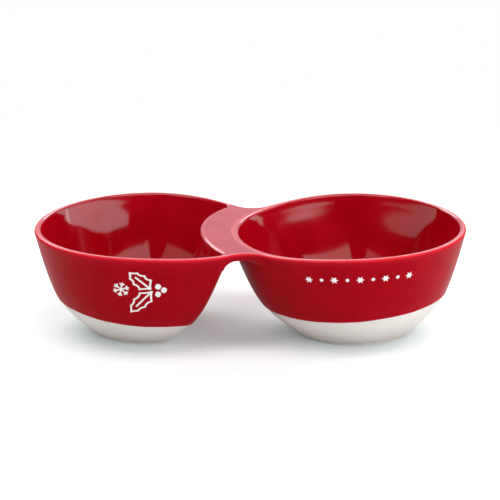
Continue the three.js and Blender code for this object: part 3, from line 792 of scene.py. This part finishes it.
def toSegments(a, b, lines):
    # shortest distance from each grid point to any of the straight pieces
    start, end = lines[:, 0], lines[:, 1]
    run = end - start
    point = stacked(a, b)[..., None, :]
    share = ((point - start) * run).sum(-1) / np.maximum((run * run).sum(-1), tiny)
    nearest = start + np.clip(share, 0, 1)[..., None] * run
    return np.linalg.norm(point - nearest, axis=-1).min(-1)


def joined(points):
    # straight pieces from each point to the next
    return np.stack([points[:-1], points[1:]], 1)


def turned(a, b, angle):
    # both coordinates turned by an angle about the middle
    c, s = np.cos(angle), np.sin(angle)
    return a * c - b * s, a * s + b * c


def addMark(name, bowl, heading, drop, turn, box, distance, halfStroke, centre=(0.0, 0.0)):
    # height over the wall falls as a sine from the stroke's middle through zero at its edge;
    # cells outside the stroke are left away
    form = markForm
    size, soft = form["cell"], form["soft"]
    lowA, highA, lowB, highB = box
    a, b = np.meshgrid(np.arange(lowA, highA + size, size), np.arange(lowB, highB + size, size))
    shake = 1 + form["shake"] * uneven(stacked(a, b, 0.0), form["shakeLength"], form["shakeSeed"])
    edge = halfStroke * shake - distance(a, b)
    lift = form["proud"] * np.sin(quarter * np.clip(edge / soft, -1, 1))
    inside = edge > -soft
    cell = inside[:-1, :-1] | inside[1:, :-1] | inside[:-1, 1:] | inside[1:, 1:]
    x, y = turned(a + centre[0], b + centre[1], turn)
    height = rimHeight - drop
    z = height - y * cubic(outerEnds, shareAt(height))[1][1]
    angle = heading + x / (rimRadius - insetAt(height))

    def onWall(out):
        # the mark's points at this distance off the wall
        plan = circle(bowl["centre"] + bowl["side"] * leanAt(z), 0.0, rimRadius - insetAt(z) + out, angle)
        return settle(raised(plan, z)).reshape(-1, 3)

    index = np.arange(a.size).reshape(a.shape)
    corners = stacked(index[:-1, :-1], index[:-1, 1:], index[1:, 1:], index[1:, :-1])
    padded = np.pad(cell, 1)
    neighbours = (padded[:-2, 1:-1], padded[1:-1, 2:], padded[2:, 1:-1], padded[1:-1, :-2])
    sides = []
    for corner, neighbour in enumerate(neighbours):  # a side wall stands where a cell has no neighbour
        bare = corners[cell & ~neighbour]
        start, end = bare[:, corner], bare[:, (corner + 1) % 4]
        sides.append(stacked(end, start, start + a.size, end + a.size))
    faces = np.concatenate([corners[cell], corners[cell][:, ::-1] + a.size, *sides])
    used, compact = np.unique(faces, return_inverse=True)
    points = np.concatenate([onWall(lift), onWall(-form["sunk"])])[used]
    addPiece(name, points, [compact.reshape(faces.shape)], whitePaint, [name])


snowflakeForm = dict(
    heading=257.5, drop=23.0, turn=18.0, radius=5.2, stroke=1.0, margin=1.2,
    arms=6, barbFrom=0.56, barbTo=0.86, barbSide=0.24,
)


def addSnowflake(form):
    # one arm with two barbs, turned about the middle in equal steps
    root, tip, side = form["barbFrom"], form["barbTo"], form["barbSide"]
    arm = form["radius"] * np.array([[(0, 0), (1, 0)], [(root, 0), (tip, side)], [(root, 0), (tip, -side)]])
    angles = np.arange(form["arms"]) * (2 * np.pi / form["arms"])
    lines = np.concatenate([stacked(*turned(arm[..., 0], arm[..., 1], angle)) for angle in angles])
    span = form["radius"] + form["margin"]
    heading, turn = np.radians(form["heading"]), np.radians(form["turn"])
    addMark("snowflake", bowls["crescent"], heading, form["drop"], turn, (-span, span, -span, span),
            lambda a, b: toSegments(a, b, lines), form["stroke"] / 2)


addSnowflake(snowflakeForm)

sprigForm = dict(
    heading=273.9, drop=23.3, turn=183.8, spread=47.0,
    upperLength=19.4, lowerLength=23.4, upperGap=1.5, lowerGap=0.3, halfWidth=5.3, stroke=1.25,
    spikes=((0.79, 0.62), (0.55, 0.92), (0.28, 0.98)), scoop=0.418, spanSteps=11,
    tipBack=0.7, rootAt=0.6, rib=0.7, sideMargin=1.4, endMargin=0.6,
    berryRadius=1.9, berryTall=1.2, berryReach=4.7, berryAlong=2.5, berryAcross=3.6,
    berryBox=(-3, 3, -3.4, 3.4),
)


def addSprigMark(name, turn, box, distance, halfStroke, centre):
    # a part of the sprig, measured from the sprig's own point on the wall
    addMark(name, bowls["crescent"], np.radians(sprigForm["heading"]), sprigForm["drop"], np.radians(turn),
            box, distance, halfStroke, centre)


def leafLines(length):
    # outline from the tip over three spikes a side to the root, each span scooped inwards, and a middle rib
    root = (sprigForm["rootAt"], 0.0)
    spikes = [(along * length, across * sprigForm["halfWidth"]) for along, across in sprigForm["spikes"]]
    knots = np.array([(length - sprigForm["tipBack"], 0.0), *spikes, root])
    pulls = (knots[:-1] + knots[1:]) / 2 * np.array([1.0, 1 - sprigForm["scoop"]])
    t = np.linspace(0, 1, sprigForm["spanSteps"])[:, None]
    edge = np.concatenate([bent(*span, t) for span in zip(knots[:-1], pulls, knots[1:])])
    rib = np.array([[root, (sprigForm["rib"] * length, 0.0)]])
    return np.concatenate([joined(edge), joined(edge * mirrorPlan), rib])


def addLeaf(name, length, side, gap):
    # each leaf starts a gap off the sprig's point and turns off its axis by the spread
    lines = leafLines(length)
    half, more = sprigForm["halfWidth"] + sprigForm["sideMargin"], sprigForm["endMargin"]
    addSprigMark(name, sprigForm["turn"] + side * sprigForm["spread"], (-more, length + more, -half, half),
                 lambda a, b: toSegments(a, b, lines), sprigForm["stroke"] / 2, (gap, 0.0))


addLeaf("holly_leaf_upper", sprigForm["upperLength"], -1, sprigForm["upperGap"])
addLeaf("holly_leaf_lower", sprigForm["lowerLength"], 1, sprigForm["lowerGap"])

berryAngles = np.pi + np.array([0.0, 2 * np.pi / 3, -2 * np.pi / 3])
for number, angle in enumerate(berryAngles, 1):
    along = sprigForm["berryAlong"] * np.cos(angle) - sprigForm["berryReach"]
    addSprigMark(f"holly_berry_{number}", sprigForm["turn"], sprigForm["berryBox"],
                 lambda a, b: np.hypot(a, b / sprigForm["berryTall"]), sprigForm["berryRadius"],
                 (along, sprigForm["berryAcross"] * np.sin(angle)))

garlandForm = dict(
    fromHeading=250.0, toHeading=301.0, drop=14.5, stars=5, dotRadius=1.2, dotBox=(-2, 2, -2, 2),
    starPoints=6, starRadius=2.7, starWaist=0.48, starStroke=0.05, starBox=(-3.6, 3.6, -3.6, 3.6),
)
stopCount = 2 * garlandForm["stars"] - 1  # a dot between each two stars
stops = np.radians(np.linspace(garlandForm["fromHeading"], garlandForm["toHeading"], stopCount))
halfPoint = np.pi / garlandForm["starPoints"]
starTurns = np.arange(2 * garlandForm["starPoints"] + 1)
starReach = garlandForm["starRadius"] * np.where(starTurns % 2 == 0, 1.0, garlandForm["starWaist"])
starEdge = circle(0.0, 0.0, starReach, starTurns * halfPoint)


def starDepth(a, b):
    # distance to the outline, counted negative inside it, which is told on one half of a point
    bearing = np.mod(np.arctan2(b, a), 2 * halfPoint)
    fold = np.minimum(bearing, 2 * halfPoint - bearing)
    px, py = np.hypot(a, b) * np.cos(fold), np.hypot(a, b) * np.sin(fold)
    (x0, y0), (x1, y1) = starEdge[0], starEdge[1]
    within = (x1 - x0) * (py - y0) - (y1 - y0) * (px - x0) > 0
    away = toSegments(a, b, joined(starEdge))
    return np.where(within, -away, away)


for number, heading in enumerate(stops):
    rank = number // 2 + 1
    if number % 2 == 0:
        addMark(f"garland_star_{rank}", bowls["round"], heading, garlandForm["drop"], 0.0,
                garlandForm["starBox"], starDepth, garlandForm["starStroke"])
    else:
        addMark(f"garland_dot_{rank}", bowls["round"], heading, garlandForm["drop"], 0.0,
                garlandForm["dotBox"], np.hypot, garlandForm["dotRadius"])
print("marks made")

# stage: floor that keeps the shadow and looks white far off, a dim room that looks white, and soft panels
# at the sides, over the front and behind
stageForm = dict(
    floorSize=14.0, floorColour=(0.85, 0.87, 0.87, 1), floorGlow=0.12, glowColour=(0.75, 1.0, 1.0, 1),
    whiteFrom=0.3, whiteTo=0.6, roomColour=(1.0, 1.0, 1.0, 1), roomLight=0.015, plainTint=(1, 1, 1),
)
panels = dict(  # place of the middle, direction it faces, width and height, brightness where 1 is white
    rightLow=dict(place=(1.05, 0.067, 0.128), faces=(-0.53, 0.848, 0.0), size=(2.03, 0.216), bright=2.7),
    leftLow=dict(place=(-1.013, 0.043, 0.118), faces=(0.53, 0.848, 0.0), size=(2.036, 0.196), bright=1.1),
    frontLow=dict(place=(-0.1, -1.05, 0.12), faces=(0.0, 1.0, 0.0), size=(0.8, 0.22), bright=0.6),
    rightFar=dict(place=(2.05, 0.98, 0.21), faces=(-0.9, -0.43, 0.0), size=(1.0, 0.38), bright=2.0),
    rightUpper=dict(place=(0.49, -0.65, 0.75), faces=(-0.45, 0.69, -0.57), size=(1.1, 0.36), bright=1.8),
    leftUpper=dict(place=(-0.62, -0.65, 0.80), faces=(0.56, 0.60, -0.57), size=(0.9, 0.36), bright=0.85),
    rightTop=dict(place=(1.0, 0.42, 0.85), faces=(-0.75, -0.3, -0.59), size=(0.8, 0.8), bright=1.6),
    overFront=dict(place=(0.0, -0.36, 1.34), faces=(0.0, 0.27, -1.0), size=(1.3, 0.5), bright=6.6),
    overRight=dict(place=(0.75, 0.1, 1.2), faces=(-0.55, 0.0, -1.0), size=(0.6, 1.0), bright=0.8),
    topBack=dict(place=(-0.2, 0.85, 1.0), faces=(0.1, -0.65, -0.76), size=(2.0, 0.8), bright=1.3),
    backUpper=dict(place=(-0.5, 1.5, 1.05), faces=(0.15, -0.82, -0.57), size=(3.0, 0.6), bright=4.6),
    backPanel=dict(place=(0.0, 1.55, 0.42), faces=(0.0, -1.0, 0.0), size=(3.0, 0.8), bright=0.95,
                   tint=(1, 0.9, 1)),
)
half = stageForm["floorSize"] / 2
floorCorners = [(-half, -half, 0), (half, -half, 0), (half, half, 0), (-half, half, 0)]
floorMesh = bpy.data.meshes.new("floor")
floorMesh.from_pydata(floorCorners, [], [(0, 1, 2, 3)])
floorPaint = bpy.data.materials.new("floorPaper")
floorPaint.use_nodes = True
tree = floorPaint.node_tree
tree.nodes.remove(tree.nodes["Principled BSDF"])
paper = addNode(tree, "ShaderNodeBsdfDiffuse", dict(Color=stageForm["floorColour"]))
glow = addNode(tree, "ShaderNodeEmission", dict(Color=stageForm["glowColour"]))
level = addNode(tree, "ShaderNodeMath", {1: stageForm["floorGlow"]}, operation="MULTIPLY")
seen = addNode(tree, "ShaderNodeMath", operation="MULTIPLY")
away = addNode(tree, "ShaderNodeVectorMath", operation="LENGTH")
far = addNode(tree, "ShaderNodeMapRange",
              {"From Min": stageForm["whiteFrom"], "From Max": stageForm["whiteTo"]})
lit, white, either, path, place = (addNode(tree, f"ShaderNode{kind}") for kind in (
    "AddShader", "Emission", "MixShader", "LightPath", "TexCoord"))
wire(
    tree,
    (path.outputs["Is Camera Ray"], level.inputs[0]), (level.outputs[0], glow.inputs["Strength"]),
    (paper.outputs[0], lit.inputs[0]), (glow.outputs[0], lit.inputs[1]),
    (place.outputs["Object"], away.inputs[0]), (away.outputs["Value"], far.inputs["Value"]),
    (far.outputs["Result"], seen.inputs[0]), (path.outputs["Is Camera Ray"], seen.inputs[1]),
    (seen.outputs[0], either.inputs[0]), (lit.outputs[0], either.inputs[1]),
    (white.outputs[0], either.inputs[2]),
    (either.outputs[0], tree.nodes["Material Output"].inputs["Surface"]),
)
floorMesh.materials.append(floorPaint)
floor = bpy.data.objects.new("floor", floorMesh)
scene.collection.objects.link(floor)

for name, panel in panels.items():
    lamp = bpy.data.lights.new(name, "AREA")
    lamp.shape = "RECTANGLE"
    lamp.size, lamp.size_y = panel["size"]
    lamp.color = panel.get("tint", stageForm["plainTint"])
    # a panel's power is its brightness times pi times its area
    lamp.energy = panel["bright"] * np.pi * lamp.size * lamp.size_y
    holder = bpy.data.objects.new(name, lamp)
    holder.location = panel["place"]
    holder.rotation_euler = facing(panel["faces"])
    scene.collection.objects.link(holder)

room = bpy.data.worlds.new("dimRoom")
room.use_nodes = True
tree = room.node_tree
background = tree.nodes["Background"].inputs
background["Color"].default_value = stageForm["roomColour"]
path = addNode(tree, "ShaderNodeLightPath")
# the room looks white to the camera but lights the part dimly
strength = addNode(tree, "ShaderNodeMapRange", {"To Min": stageForm["roomLight"]})
wire(tree, (path.outputs["Is Camera Ray"], strength.inputs["Value"]),
     (strength.outputs["Result"], background["Strength"]))
scene.world = room
print("stage and light set")
